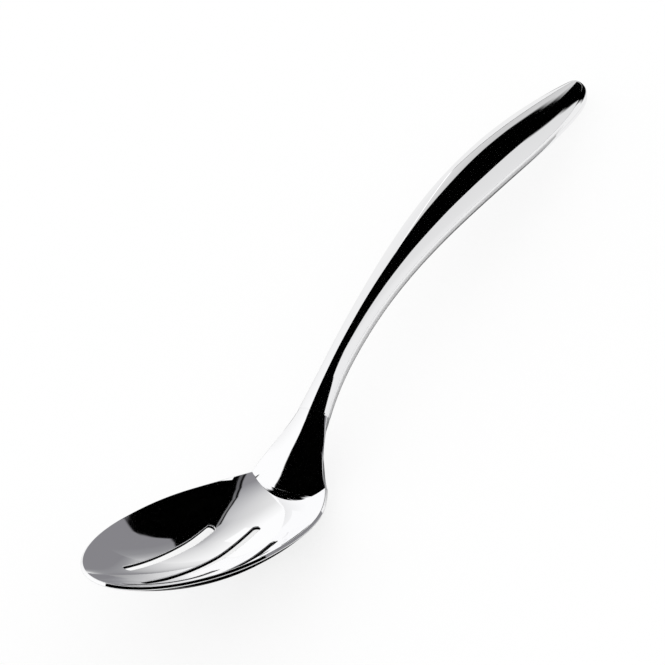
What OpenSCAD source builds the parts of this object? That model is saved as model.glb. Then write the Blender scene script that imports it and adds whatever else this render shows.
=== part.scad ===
// Slotted serving spoon of stainless steel with a hollow, arched handle.
// The bowl and its shank are one pressed sheet, whose tang enters the handle.
// The handle is two thin shells, welded round their seam and welded to the shank.
// The spoon is drawn level on its rim, from the tip of the bowl at x = 0, and then
// laid down as it rests on a table: on the belly of the bowl and the end of the handle.

/* [Bowl] */
// Length of the bowl, from its tip to the ends of the crease
bowl_l = 119; // [108:1:132]
// Width of the bowl inside its rim, at the widest place
bowl_w = 64; // [50:1:80]
// Distance from the tip to the widest place
bowl_widest = 58; // [46:1:72]
// Depth inside the bowl, from the rim to the lowest place
bowl_depth = 14; // [10:0.5:20]
// Distance from the tip to the lowest place
bowl_lowest = 74; // [58:1:88]
// Thickness of the sheet
sheet_t = 1.5; // [1:0.1:2.4]

/* [Crease] */
// Width between the two ends of the crease
crease_w = 32; // [24:1:40]
// Depth of the middle of the crease below the rim
crease_depth = 5.5; // [4:0.5:9]
// How far the middle of the crease lies ahead of its ends, towards the tip
crease_bow = 2.5; // [0:0.5:4]
// Rise of the rim at the ends of the crease
rim_rise = 1.5; // [0:0.5:4]
// Angle of the shank above the rim, where its middle leaves the crease
crease_angle = 84; // [72:1:88]
// Angle of the edges of the shank above the rim, where they leave the crease
edge_angle = 70; // [60:1:80]

/* [Slots] */
// Width of each slot
slot_w = 3; // [2.4:0.2:6]
// Distance between the centre lines of neighbouring slots
slot_pitch = 13.6; // [9:0.2:16]
// Length of the middle slot over its round ends
middle_slot_l = 78; // [50:1:86]
// Length of each side slot over its round ends
side_slot_l = 58.5; // [40:0.5:66]
// Distance from the tip to the near end of the middle slot
middle_slot_start = 21.5; // [17:0.5:26]
// Distance from the tip to the near end of each side slot
side_slot_start = 31; // [26:0.5:36]

/* [Shank] */
// Run of the shank along the spoon, from the crease to the neck weld
shank_run = 18; // [14:0.5:22]
// Height of the neck weld above the rim
shank_rise = 22; // [18:0.5:26]
// Width of the shank at the neck weld
weld_w = 13; // [11:0.5:16]
// Length of the neck weld along the handle
neck_weld_l = 0.8; // [0.4:0.1:2]
// Length of the tang inside the handle
tang_l = 20; // [10:1:24]
// Clearance between the tang and the inside of the neck
tang_gap = 0.2; // [0.1:0.05:0.4]

/* [Handle] */
// Length of the handle along its curve, from the neck weld to the end
handle_l = 204; // [170:1:240]
// Angle of the handle above the rim at the neck weld
neck_angle = 47; // [38:1:54]
// Angle of the handle above the rim at its end
end_angle = 8; // [0:1:16]
// Width of the neck at its narrowest place
neck_w = 10.2; // [9:0.2:12]
// Distance along the handle from the weld to the narrowest place
neck_l = 24; // [20:1:40]
// Width of the grip at its widest place
grip_w = 24.6; // [20:0.2:30]
// Distance along the handle from the weld to the widest place
grip_l = 145; // [115:1:160]
// Crown of the upper shell above the seam at the neck
neck_top = 3.8; // [3:0.1:5]
// Crown of the lower shell below the seam at the neck
neck_under = 4; // [3:0.1:5]
// Crown of the upper shell above the seam at the grip
grip_top = 5; // [4:0.1:7]
// Crown of the lower shell below the seam at the grip
grip_under = 5.4; // [4:0.1:7]
// Length over which the thickness rounds off at the end of the handle
end_round = 4; // [2:0.5:8]
// Thickness of the shells
shell_t = 1; // [0.6:0.1:1.4]
// Width of the seam weld between the two shells
seam_w = 0.6; // [0.4:0.1:1.2]

/* [Hidden] */
steel = "silver";
weld_steel = "lightgray";

// Facets across each surface, and rows of facets along the bowl, shank, tang and handle
columns = 19;
bowl_rows = 30;
shank_rows = 10;
tang_rows = 4;
handle_rows = 40;
slot_end_sides = 16;
// Angle of the first row at the tip, which leaves a short flat there
tip_angle = 3;
// Powers of the curves: the outline behind the widest place, the hollow across and
// behind the lowest place, the bow of the crease, the narrowing of the shank and the
// rounding of the end of the handle
outline_power = 2.5;
hollow_power = 2.2;
floor_power = 1.5;
bow_power = 6;
shank_power = 1.2;
end_power = 2.1;
// Share of the bowl's length at which the rim starts to rise
rim_rise_share = 0.8;
// Length over which the growth of the handle is averaged
grow_span = 40;
// Share of the width that the end of the handle keeps, as its flat
end_flat_share = 0.02;
// Share of the shank at which the sheet starts to thicken towards the weld
thicken_share = 0.45;
// How strongly the shank's curves hold their end directions, as a share of its length
lead_share = 0.9;
// The slot cutters pass the sheet by this much
overrun = 5;

// Plain helpers
function mix(a, b, t) = a + (b - a) * t;
function smooth(t) = let (c = min(max(t, 0), 1)) c * c * (3 - 2 * c);
function heading(angle) = [cos(angle), 0, sin(angle)];
function upright(angle) = [-sin(angle), 0, cos(angle)];
function unit(v) = v / norm(v);
// Point at t on the curve from a to b, with the directions da and db at its ends
function bend(a, da, b, db, t) =
    let (pull = norm(b - a) * lead_share)
    a * (1 + 2 * t) * pow(1 - t, 2) + da * pull * t * pow(1 - t, 2)
    + b * t * t * (3 - 2 * t) - db * pull * t * t * (1 - t);
// Place across a surface, from -1 at the right edge to 1 at the left one
function across(j) = sin(180 * j / columns - 90);

// Bowl, level on its rim
function half_width(u) = u < bowl_widest
    ? bowl_w / 2 * sqrt(1 - pow(1 - u / bowl_widest, 2))
    : bowl_w / 2 - (bowl_w - crease_w) / 2
        * pow((u - bowl_widest) / (bowl_l - bowl_widest), outline_power);
function floor_depth(u) = u < bowl_lowest
    ? bowl_depth * (1 - pow(1 - u / bowl_lowest, 2))
    : bowl_depth - (bowl_depth - crease_depth)
        * pow((u - bowl_lowest) / (bowl_l - bowl_lowest), floor_power);
function rim_height(u) =
    rim_rise * pow(max(u / bowl_l - rim_rise_share, 0) / (1 - rim_rise_share), 2);
// Share of the depth at s across the bowl, 1 in the middle and 0 at the rim
function hollow(s) = 1 - pow(abs(s), hollow_power);
function bowl_point(u, s) = [
    u - crease_bow * hollow(s) * pow(u / bowl_l, bow_power),
    half_width(u) * s,
    rim_height(u) - (rim_height(u) + floor_depth(u)) * hollow(s)];
// The rows turn evenly round the tip and then run evenly to the crease
front_rows = round(bowl_rows / 2);
function bowl_u(i) = i < front_rows
    ? bowl_widest * (1 - cos(mix(tip_angle, 90, i / front_rows)))
    : mix(bowl_widest, bowl_l, (i - front_rows) / (bowl_rows - front_rows));

// Centre line of the handle, whose angle falls fast at the neck and slowly at the grip
neck_start = [bowl_l + shank_run, 0, shank_rise];
function handle_angle(s) = end_angle + (neck_angle - end_angle) * pow(1 - s / handle_l, 2);
function handle_s(k) = handle_l * sin(90 * k / handle_rows);
handle_line = [
    for (k = 0, p = neck_start; k <= handle_rows; k = k + 1,
        p = p + (handle_s(min(k, handle_rows)) - handle_s(k - 1))
            * heading(handle_angle((handle_s(min(k, handle_rows)) + handle_s(k - 1)) / 2)))
        p];
// Point on the centre line at any distance s from the weld
function line_at(s) =
    let (k = min(floor(asin(min(s / handle_l, 1)) / 90 * handle_rows), handle_rows - 1))
    handle_line[k] + (s - handle_s(k)) * heading(handle_angle((s + handle_s(k)) / 2));

// Sizes of the handle at s, before its end rounds off. They grow from the neck to the grip
// as half a cosine wave, averaged over a span so that the growth starts and ends softly.
// Sum of the wave from its start to the share t of its length
function wave_sum(t) = t < 0 ? 0
    : t > 1 ? t - 1 / 2
    : t / 2 - sin(180 * t) / (2 * PI);
function grow(s) = let (
    half_span = grow_span / 2 / (grip_l - neck_l),
    t = (s - neck_l) / (grip_l - neck_l))
    (wave_sum(t + half_span) - wave_sum(t - half_span)) / (2 * half_span);
function body_half(s) = mix(neck_w, grip_w, grow(s)) / 2
    + (weld_w - neck_w) / 2 * pow(max(1 - s / neck_l, 0), 2);
function body_top(s) = mix(neck_top, grip_top, grow(s));
function body_under(s) = mix(neck_under, grip_under, grow(s));
// Shares of the width and of the thickness that the rounded end leaves at s
function end_half(s) = s < grip_l ? 1
    : pow(1 - (1 - end_flat_share) * pow((s - grip_l) / (handle_l - grip_l), end_power), 1 / end_power);
function end_crown(s) = s < handle_l - end_round ? 1
    : sqrt(max(1 - pow((s - handle_l + end_round) / end_round, 2), 0));
// One row of the handle: crown height up and half width, over a seam of seam_w
function oval_row(centre, angle, half, crown, side) = [
    for (j = [0 : columns])
        centre + [0, half * across(j), 0]
        + upright(angle) * side * (seam_w / 2 + crown * sqrt(max(1 - pow(across(j), 2), 0)))];
function outer_row(k, side) = let (s = handle_s(k))
    oval_row(handle_line[k], handle_angle(s), body_half(s) * end_half(s),
        (side > 0 ? body_top(s) : body_under(s)) * end_crown(s), side);
// The inside follows the outside one shell thickness in, and ends that much earlier
function inner_s(k) = handle_s(k) * (handle_l - shell_t) / handle_l;
function inner_row(k, side) = let (s = handle_s(k))
    oval_row(line_at(inner_s(k)), handle_angle(inner_s(k)), (body_half(s) - shell_t) * end_half(s),
        ((side > 0 ? body_top(s) : body_under(s)) - shell_t) * end_crown(s), side);

// Shank: its middle and its edges run from the crease to the neck weld
shank_end = neck_start - neck_weld_l * heading(neck_angle);
crease_middle = bowl_point(bowl_l, 0);
crease_edge = [bowl_l, 0, rim_rise];
function middle_line(v) = bend(crease_middle, heading(crease_angle),
    shank_end + upright(neck_angle) * (seam_w / 2 + neck_top), heading(neck_angle), v);
function edge_line(v) = bend(crease_edge, heading(edge_angle),
    shank_end + upright(neck_angle) * seam_w / 2, heading(neck_angle), v);
function shank_half(v) = mix(weld_w, crease_w, pow(1 - v, shank_power)) / 2;
function shank_point(v, s) = let (
    round_over = 1 - sqrt(max(1 - s * s, 0)),
    m = middle_line(v),
    e = edge_line(v))
    mix(m, e, mix(pow(abs(s), hollow_power), round_over, smooth(v))) + [0, shank_half(v) * s, 0];

// Upper surface of the sheet from the tip to the neck weld
sheet_top = [
    for (i = [0 : bowl_rows]) [for (j = [0 : columns]) bowl_point(bowl_u(i), across(j))],
    for (i = [1 : shank_rows]) [for (j = [0 : columns]) shank_point(i / shank_rows, across(j))]];
sheet_rows = bowl_rows + shank_rows;
// Downward normal of the sheet on the strip of rows from i to i + 1, at column j
function strip_normal(i, j) = let (
    a = sheet_top[i],
    b = sheet_top[i + 1],
    lo = max(j - 1, 0),
    hi = min(j + 1, columns))
    unit(cross(a[hi] - a[lo] + b[hi] - b[lo], b[j] - a[j]));
// Lower surface: one thickness below the upper one, with a mitre at the crease, and
// swelling to the section of the handle at the neck weld
function sheet_under_point(i, j) = let (
    n1 = strip_normal(max(i - 1, 0), j),
    n2 = strip_normal(min(i, sheet_rows - 1), j),
    thin = sheet_top[i][j] + sheet_t * (n1 + n2) / (1 + n1 * n2),
    v = max(i - bowl_rows, 0) / shank_rows,
    full = edge_line(v) + [0, shank_half(v) * across(j), 0]
        - upright(neck_angle) * (seam_w + neck_under * sqrt(max(1 - pow(across(j), 2), 0))))
    mix(thin, full, smooth((v - thicken_share) / (1 - thicken_share)));
sheet_under = [for (i = [0 : sheet_rows]) [for (j = [0 : columns]) sheet_under_point(i, j)]];

// Tang: a bar that clears the inside of the neck
tang_half = min(neck_w, weld_w) / 2 - shell_t - tang_gap;
tang_top = neck_top - shell_t - tang_gap;
tang_under = neck_under - shell_t - tang_gap;
tang_stations = [shank_end, for (i = [0 : tang_rows]) line_at(tang_l * i / tang_rows)];
tang_angles = [neck_angle, for (i = [0 : tang_rows]) handle_angle(tang_l * i / tang_rows)];
function tang_side(side) = [
    for (i = [0 : tang_rows + 1])
        oval_row(tang_stations[i], tang_angles[i], tang_half, side > 0 ? tang_top : tang_under, side)];

// Rest: the least angle at which a straight edge touches the belly and the handle
middle_column = floor(columns / 2);
belly = [for (i = [0 : bowl_rows]) sheet_under[i][middle_column]];
handle_bottom = [for (k = [0 : handle_rows]) outer_row(k, -1)[middle_column]];
function slope_to(h) = max([for (b = belly) atan2(h[2] - b[2], h[0] - b[0])]);
rest_tilt = min([for (h = handle_bottom) slope_to(h)]);
function laid(p) = [p[0] * cos(rest_tilt) + p[2] * sin(rest_tilt), p[1],
    p[2] * cos(rest_tilt) - p[0] * sin(rest_tilt)];
all_points = [
    for (row = sheet_top) each row,
    for (row = sheet_under) each row,
    for (k = [0 : handle_rows]) each concat(outer_row(k, 1), outer_row(k, -1))];
laid_x = [for (p = all_points) laid(p)[0]];
laid_z = [for (p = all_points) laid(p)[2]];

// Lays what is drawn level on the rim down on the table, centred over the origin
module rest() {
    translate([-(min(laid_x) + max(laid_x)) / 2, 0, -min(laid_z)])
        rotate([0, rest_tilt, 0])
            children();
}

// Closed solid between two surfaces of the same rows and columns, upper one first
module slab(upper, lower) {
    rows = len(upper);
    cols = len(upper[0]);
    low = rows * cols;
    function at(i, j) = i * cols + j;
    points = [for (row = upper) each row, for (row = lower) each row];
    faces = [
        for (i = [0 : rows - 2]) for (j = [0 : cols - 2]) each [
            [at(i, j), at(i, j + 1), at(i + 1, j + 1)],
            [at(i, j), at(i + 1, j + 1), at(i + 1, j)],
            [low + at(i, j), low + at(i + 1, j + 1), low + at(i, j + 1)],
            [low + at(i, j), low + at(i + 1, j), low + at(i + 1, j + 1)]],
        for (i = [0 : rows - 2]) each [
            [at(i, 0), at(i + 1, 0), low + at(i + 1, 0)],
            [at(i, 0), low + at(i + 1, 0), low + at(i, 0)],
            [at(i, cols - 1), low + at(i + 1, cols - 1), at(i + 1, cols - 1)],
            [at(i, cols - 1), low + at(i, cols - 1), low + at(i + 1, cols - 1)]],
        for (j = [0 : cols - 2]) each [
            [at(0, j), low + at(0, j + 1), at(0, j + 1)],
            [at(0, j), low + at(0, j), low + at(0, j + 1)],
            [at(rows - 1, j), at(rows - 1, j + 1), low + at(rows - 1, j + 1)],
            [at(rows - 1, j), low + at(rows - 1, j + 1), low + at(rows - 1, j)]]];
    polyhedron(points, faces);
}

// Upright cutter for one slot, from x = start on the line at y
module slot_cutter(start, length, y) {
    r = slot_w / 2;
    ends = [
        for (a = [0 : slot_end_sides]) let (t = 90 - 180 * a / slot_end_sides)
            [start + length - r + r * cos(t), y + r * sin(t)],
        for (a = [0 : slot_end_sides]) let (t = -90 - 180 * a / slot_end_sides)
            [start + r + r * cos(t), y + r * sin(t)]];
    translate([0, 0, -bowl_depth - sheet_t - overrun])
        linear_extrude(bowl_depth + sheet_t + 2 * overrun)
            polygon(ends);
}

module slotted_bowl() {
    color(steel)
    rest()
    difference() {
        slab(concat(sheet_top, tang_side(1)), concat(sheet_under, tang_side(-1)));
        slot_cutter(middle_slot_start, middle_slot_l, 0);
        for (side = [-1, 1])
            slot_cutter(side_slot_start, side_slot_l, side * slot_pitch);
    }
}

// Outline of an oval section round the seam, as heights down and places across
function section_outline(half, top, under) = [
    for (j = [0 : columns])
        [-seam_w / 2 - top * sqrt(max(1 - pow(across(j), 2), 0)), half * across(j)],
    for (j = [columns : -1 : 0])
        [seam_w / 2 + under * sqrt(max(1 - pow(across(j), 2), 0)), half * across(j)]];

module neck_weld() {
    color(weld_steel)
    rest()
    translate(shank_end)
        rotate([0, 90 - neck_angle, 0])
            linear_extrude(neck_weld_l)
                difference() {
                    polygon(section_outline(weld_w / 2, neck_top, neck_under));
                    polygon(section_outline(tang_half, tang_top, tang_under));
                }
}

module handle_top_shell() {
    color(steel)
    rest()
    slab([for (k = [0 : handle_rows]) outer_row(k, 1)],
        [for (k = [0 : handle_rows]) inner_row(k, 1)]);
}

module handle_bottom_shell() {
    color(steel)
    rest()
    slab([for (k = [0 : handle_rows]) inner_row(k, -1)],
        [for (k = [0 : handle_rows]) outer_row(k, -1)]);
}

// The seam weld runs up the right side, round the end and back down the left side
function seam_rows(side) = [
    for (k = [0 : handle_rows]) [outer_row(k, side)[0], inner_row(k, side)[0]],
    for (k = [handle_rows : -1 : 0]) [outer_row(k, side)[columns], inner_row(k, side)[columns]]];
module seam_weld() {
    color(weld_steel)
    rest()
    slab(seam_rows(1), seam_rows(-1));
}

slotted_bowl();
neck_weld();
handle_top_shell();
handle_bottom_shell();
seam_weld();
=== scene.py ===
"""Slotted serving spoon of mirror-polished 18/8 stainless steel, on a white table.

The bowl and its shank are one pressed sheet with three slots. The arched handle is two
thin shells, with a seam weld round them and a neck weld where they meet the shank. Every
surface is a formula on a grid, worked out in millimetres with the spoon level on its rim,
and is then laid down on the table.
"""

import bpy
import numpy as np
from mathutils import Matrix, Vector
from mathutils.geometry import delaunay_2d_cdt


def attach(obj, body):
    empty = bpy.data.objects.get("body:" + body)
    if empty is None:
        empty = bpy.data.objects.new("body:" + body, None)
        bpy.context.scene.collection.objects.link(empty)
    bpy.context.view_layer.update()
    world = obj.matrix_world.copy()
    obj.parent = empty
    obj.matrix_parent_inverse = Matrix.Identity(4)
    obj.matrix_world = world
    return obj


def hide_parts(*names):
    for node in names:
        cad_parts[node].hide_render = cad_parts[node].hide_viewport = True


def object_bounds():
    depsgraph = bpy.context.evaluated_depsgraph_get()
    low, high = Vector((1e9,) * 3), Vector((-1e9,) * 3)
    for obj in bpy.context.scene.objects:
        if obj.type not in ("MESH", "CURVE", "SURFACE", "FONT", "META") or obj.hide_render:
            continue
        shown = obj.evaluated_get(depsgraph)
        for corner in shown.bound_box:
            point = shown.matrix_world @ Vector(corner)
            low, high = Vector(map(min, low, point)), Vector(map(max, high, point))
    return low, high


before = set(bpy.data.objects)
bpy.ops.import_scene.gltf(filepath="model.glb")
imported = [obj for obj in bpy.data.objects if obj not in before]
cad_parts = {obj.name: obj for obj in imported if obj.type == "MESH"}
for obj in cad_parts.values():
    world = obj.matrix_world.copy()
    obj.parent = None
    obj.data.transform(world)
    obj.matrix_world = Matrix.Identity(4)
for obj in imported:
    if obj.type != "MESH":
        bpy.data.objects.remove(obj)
cad_low, cad_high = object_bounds()

# Sizes of the spoon in millimetres and degrees, as in the part's source
BOWL_L, BOWL_W, BOWL_WIDEST = 119.0, 64.0, 58.0
BOWL_DEPTH, BOWL_LOWEST = 14.0, 74.0
SHEET_T = 1.5
CREASE_W, CREASE_DEPTH, CREASE_BOW = 32.0, 5.5, 2.5
RIM_RISE, RIM_RISE_SHARE = 1.5, 0.8
CREASE_ANGLE, EDGE_ANGLE = 84.0, 70.0
OUTLINE_POWER, HOLLOW_POWER, FLOOR_POWER, BOW_POWER = 2.5, 2.2, 1.5, 6.0
SLOT_W, SLOT_PITCH = 3.0, 13.6
MIDDLE_SLOT_START, MIDDLE_SLOT_L = 21.5, 78.0
SIDE_SLOT_START, SIDE_SLOT_L = 31.0, 58.5
SHANK_RUN, SHANK_RISE, SHANK_POWER = 18.0, 22.0, 1.2
LEAD_SHARE, THICKEN_SHARE = 0.9, 0.45
WELD_W, NECK_WELD_L = 13.0, 0.8
TANG_L, TANG_GAP = 20.0, 0.2
HANDLE_L, NECK_ANGLE, END_ANGLE = 204.0, 47.0, 8.0
NECK_W, NECK_L, GRIP_W, GRIP_L = 10.2, 24.0, 24.6, 145.0
NECK_TOP, NECK_UNDER, GRIP_TOP, GRIP_UNDER = 3.8, 4.0, 5.0, 5.4
GROW_SPAN = 40.0
END_ROUND, END_POWER, END_FLAT_SHARE = 4.0, 2.1, 0.02
SHELL_T, SEAM_W = 1.0, 0.6
# Radius of the polished edges of the sheet, at the rim and round the slots
RIM_ROUND, SLOT_ROUND = 0.3, 0.3

# Fineness of the grids
PLAN_STEP = 0.8
HANDLE_ROWS, HANDLE_COLUMNS = 220, 56
SHANK_ROWS, SHANK_COLUMNS = 60, 64
RIM_FRONT_ROWS, RIM_REAR_ROWS = 90, 70
ROUND_STEPS, FOLD_STEPS = 6, 8
LINE_POINTS, BELLY_POINTS, UNDER_POINTS = 2001, 800, 1200
SLOT_END_POINTS, TANG_LOOPS, WELD_LOOPS = 25, 12, 7
# Steps over which slopes are taken, in millimetres and in shares or radians
MM_STEP, SHARE_STEP = 1e-3, 1e-4
# Points of a mesh this close are one point, and so are points of its plan, in millimetres
SAME_PLACE, SAME_PLAN_PLACE = 1e-4, 1e-6
# Smaller than any size here: keeps a value off zero and off an edge
HAIR = 1e-9


# Plain helpers on whole arrays
def heading(angle):
    """Unit vector along the spoon at an angle above the rim, in degrees."""
    a = np.radians(angle)
    return np.stack([np.cos(a), 0 * a, np.sin(a)], -1)


def upright(angle):
    """Unit vector square to heading, upwards."""
    a = np.radians(angle)
    return np.stack([-np.sin(a), 0 * a, np.cos(a)], -1)


def mix(a, b, t):
    """Straight blend from a to b."""
    return a + (b - a) * t


def ease(t):
    """Blend that leaves 0 and reaches 1 level: 3t^2 - 2t^3."""
    c = np.clip(t, 0, 1)
    return c * c * (3 - 2 * c)


def unit(v):
    """Vectors brought to length 1."""
    return v / np.linalg.norm(v, axis=-1, keepdims=True)


def sideways(y):
    """Vectors of length y across the spoon."""
    return np.stack([0 * y, y, 0 * y], -1)


def normals_of(surface, a, b, step_a, step_b):
    """Normals of surface(a, b): the cross product of its two slopes, by small steps."""
    along = surface(a + step_a, b) - surface(a - step_a, b)
    over = surface(a, b + step_b) - surface(a, b - step_b)
    return unit(np.cross(along, over))


# Bowl
def half_width(u):
    """Half an ellipse to the widest place, then a power curve in to the crease."""
    front = BOWL_W / 2 * np.sqrt(np.clip(1 - (1 - u / BOWL_WIDEST) ** 2, 0, None))
    back = np.clip((u - BOWL_WIDEST) / (BOWL_L - BOWL_WIDEST), 0, None) ** OUTLINE_POWER
    return np.where(u < BOWL_WIDEST, front, BOWL_W / 2 - (BOWL_W - CREASE_W) / 2 * back)


def floor_depth(u):
    """A parabola down to the lowest place, then a power curve up to the crease."""
    front = BOWL_DEPTH * (1 - (1 - u / BOWL_LOWEST) ** 2)
    back = np.clip((u - BOWL_LOWEST) / (BOWL_L - BOWL_LOWEST), 0, None) ** FLOOR_POWER
    return np.where(u < BOWL_LOWEST, front, BOWL_DEPTH - (BOWL_DEPTH - CREASE_DEPTH) * back)


def bowl(u, s):
    """Upper side of the bowl: u from the tip, s from -1 to 1 across, hollowed as 1 - |s|^p."""
    u, s = np.broadcast_arrays(u, s)
    rim = RIM_RISE * (np.clip(u / BOWL_L - RIM_RISE_SHARE, 0, None) / (1 - RIM_RISE_SHARE)) ** 2
    hollow = 1 - np.abs(s) ** HOLLOW_POWER
    x = u - CREASE_BOW * hollow * (u / BOWL_L) ** BOW_POWER
    z = rim - (rim + floor_depth(u)) * hollow
    return np.stack([x, half_width(u) * s, z], -1)


# The outline is square to the centre line at the tip, so no slope is taken nearer than this
TIP_CLEAR = 0.05


def bowl_normal(u, s):
    """Upward normals of the bowl."""
    return normals_of(bowl, np.maximum(u, TIP_CLEAR), s, MM_STEP, SHARE_STEP)


# Handle
LINE_S = np.linspace(0, HANDLE_L, LINE_POINTS)
NECK_START = np.array([BOWL_L + SHANK_RUN, 0, SHANK_RISE])


def handle_angle(s):
    """Angle of the handle above the rim, falling as the square of what is left of it."""
    return END_ANGLE + (NECK_ANGLE - END_ANGLE) * (1 - s / HANDLE_L) ** 2


LINE_STEPS = heading(handle_angle((LINE_S[1:] + LINE_S[:-1]) / 2)) * np.diff(LINE_S)[:, None]
LINE = NECK_START + np.concatenate([np.zeros((1, 3)), np.cumsum(LINE_STEPS, 0)])


def handle_line(s):
    """Centre line of the handle: the sum of its headings from the neck weld to s."""
    return np.stack([np.interp(s, LINE_S, LINE[:, axis]) for axis in range(3)], -1)


def wave_sum(t):
    """Sum of half a cosine wave, which rises from 0 to 1, up to the share t of its length."""
    wave = np.clip(t, 0, 1)
    return wave / 2 - np.sin(np.pi * wave) / (2 * np.pi) + np.clip(t - 1, 0, None)


def grow(s):
    """0 at the neck to 1 at the grip: the wave averaged over GROW_SPAN, to ease its ends."""
    half_span = GROW_SPAN / 2 / (GRIP_L - NECK_L)
    t = (np.asarray(s) - NECK_L) / (GRIP_L - NECK_L)
    return (wave_sum(t + half_span) - wave_sum(t - half_span)) / (2 * half_span)


def handle_half(s):
    """Half the width of the handle, with its flare at the weld and its rounded end."""
    body = mix(NECK_W, GRIP_W, grow(s)) / 2
    flare = (WELD_W - NECK_W) / 2 * np.clip(1 - s / NECK_L, 0, None) ** 2
    gone = np.clip((s - GRIP_L) / (HANDLE_L - GRIP_L), 0, 1) ** END_POWER
    return (body + flare) * (1 - (1 - END_FLAT_SHARE) * gone) ** (1 / END_POWER)


def handle_crown(s, side, inset):
    """Height of a shell over the seam, rounding off over the last END_ROUND."""
    body = mix(NECK_TOP, GRIP_TOP, grow(s)) if side > 0 else mix(NECK_UNDER, GRIP_UNDER, grow(s))
    past = np.clip((s - HANDLE_L + END_ROUND) / END_ROUND, 0, 1)
    return (body - inset) * np.sqrt(1 - past ** 2)


def shell_surface(side, inset):
    """A shell's surface: half ellipses of angle t square to the centre line, at each s."""

    def surface(s, t):
        s, t = np.broadcast_arrays(s, t)
        shrink = (HANDLE_L - inset) / HANDLE_L
        half = handle_half(s) * (1 - inset / mix(NECK_W, GRIP_W, grow(s)) * 2)
        rise = side * (SEAM_W / 2 + handle_crown(s, side, inset) * np.sin(t))
        lift = upright(handle_angle(s * shrink)) * rise[..., None]
        return handle_line(s * shrink) + lift + sideways(-half * np.cos(t))

    return surface


# Shank
SHANK_END = NECK_START - NECK_WELD_L * heading(NECK_ANGLE)
# How far inside its edges its slopes are taken, in w and in s, above and under
TOP_MARGINS, UNDER_MARGINS = (1e-4, 5e-4), (1e-3, 1e-3)


def bend(a, a_angle, b, b_angle, t):
    """Cubic curve from a to b that leaves and arrives at the given angles."""
    pull = np.linalg.norm(b - a) * LEAD_SHARE
    t = t[..., None]
    ends = a * (1 + 2 * t) * (1 - t) ** 2 + b * t * t * (3 - 2 * t)
    return ends + pull * t * (1 - t) * (heading(a_angle) * (1 - t) - heading(b_angle) * t)


def shank_edge(w):
    """Line of the shank's edges, seen from the side."""
    top = SHANK_END + upright(NECK_ANGLE) * SEAM_W / 2
    return bend(np.array([BOWL_L, 0, RIM_RISE]), EDGE_ANGLE, top, NECK_ANGLE, w)


def shank_half(w):
    """Half the width of the shank, narrowing fast behind the crease."""
    return mix(WELD_W, CREASE_W, np.clip(1 - w, 0, None) ** SHANK_POWER) / 2


def shank(w, s):
    """Upper side of the shank: a trough at the crease that turns into an oval at the weld."""
    w, s = np.broadcast_arrays(w, s)
    top = SHANK_END + upright(NECK_ANGLE) * (SEAM_W / 2 + NECK_TOP)
    middle = bend(bowl(np.array(BOWL_L), np.array(0.0)), CREASE_ANGLE, top, NECK_ANGLE, w)
    fall = mix(np.abs(s) ** HOLLOW_POWER, 1 - np.sqrt(np.clip(1 - s * s, 0, None)), ease(w))
    return mix(middle, shank_edge(w), fall[..., None]) + sideways(shank_half(w) * s)


def clear_of_edges(w, s, margins):
    """w from 0 to 1 and s from -1 to 1, kept inside their ends by the margins."""
    return np.clip(w, margins[0], 1 - margins[0]), np.clip(s, margins[1] - 1, 1 - margins[1])


def shank_normal(w, s):
    """Upward normals of the shank."""
    return normals_of(shank, *clear_of_edges(w, s, TOP_MARGINS), SHARE_STEP, SHARE_STEP)


def shank_under(w, s):
    """Under side of the shank: one sheet below, swelling to the handle's oval at the weld."""
    w, s = np.broadcast_arrays(w, s)
    thin = shank(w, s) - SHEET_T * shank_normal(w, s)
    belly = SEAM_W + NECK_UNDER * np.sqrt(np.clip(1 - s * s, 0, None))
    full = shank_edge(w) + sideways(shank_half(w) * s) - upright(NECK_ANGLE) * belly[..., None]
    return mix(thin, full, ease((w - THICKEN_SHARE) / (1 - THICKEN_SHARE))[..., None])


def shank_under_normal(w, s):
    """Downward normals of the shank's under side."""
    return -normals_of(shank_under, *clear_of_edges(w, s, UNDER_MARGINS), SHARE_STEP, SHARE_STEP)


# Rest on the table: the least angle at which a straight edge touches belly and handle. The
# belly can touch only past BELLY_FROM.
BELLY_FROM = 20.0
belly_u = np.linspace(BELLY_FROM, BOWL_L, BELLY_POINTS)
belly_line = bowl(belly_u, 0.0) - SHEET_T * bowl_normal(belly_u, 0.0)
under_s = np.linspace(0, HANDLE_L, UNDER_POINTS)
top_line, under_line = (shell_surface(side, 0.0)(under_s, np.pi / 2) for side in (1, -1))
reach = under_line[:, None, :] - belly_line[None, :, :]
TILT = np.arctan2(reach[..., 2], reach[..., 0]).max(1).min()


def turned(v):
    """Vectors turned by the rest angle about the axis across the spoon."""
    c, s = np.cos(TILT), np.sin(TILT)
    return np.stack([v[..., 0] * c + v[..., 2] * s, v[..., 1], v[..., 2] * c - v[..., 0] * s], -1)


rest_line = turned(np.concatenate([belly_line, top_line, under_line]))
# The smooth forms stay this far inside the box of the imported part
INSIDE = 0.02
REST_SHIFT = np.array([
    1000 * cad_high[0] - INSIDE - rest_line[:, 0].max(), 0,
    1000 * cad_low[2] + INSIDE - rest_line[:, 2].min()])


# Meshes
def cells(rows, columns):
    """Two triangles to each cell of a grid of points that are numbered row by row."""
    i = np.arange(rows * columns).reshape(rows, columns)
    a, b, c, d = i[:-1, :-1], i[:-1, 1:], i[1:, 1:], i[1:, :-1]
    return np.stack([a, b, c, a, c, d], -1).reshape(-1, 3)


def patch(points, normals, triangles=None):
    """Points, their normals, and triangles wound so that they face along the normals."""
    if triangles is None:
        triangles = cells(points.shape[0], points.shape[1])
    normals = np.broadcast_to(normals, points.shape).reshape(-1, 3)
    points = points.reshape(-1, 3)
    a, b, c = (points[triangles[:, k]] for k in range(3))
    facing = np.cross(b - a, c - a)
    backward = (facing * normals[triangles].sum(1)).sum(-1) < 0
    triangles = np.where(backward[:, None], triangles[:, ::-1], triangles)
    return points, normals, triangles


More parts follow.
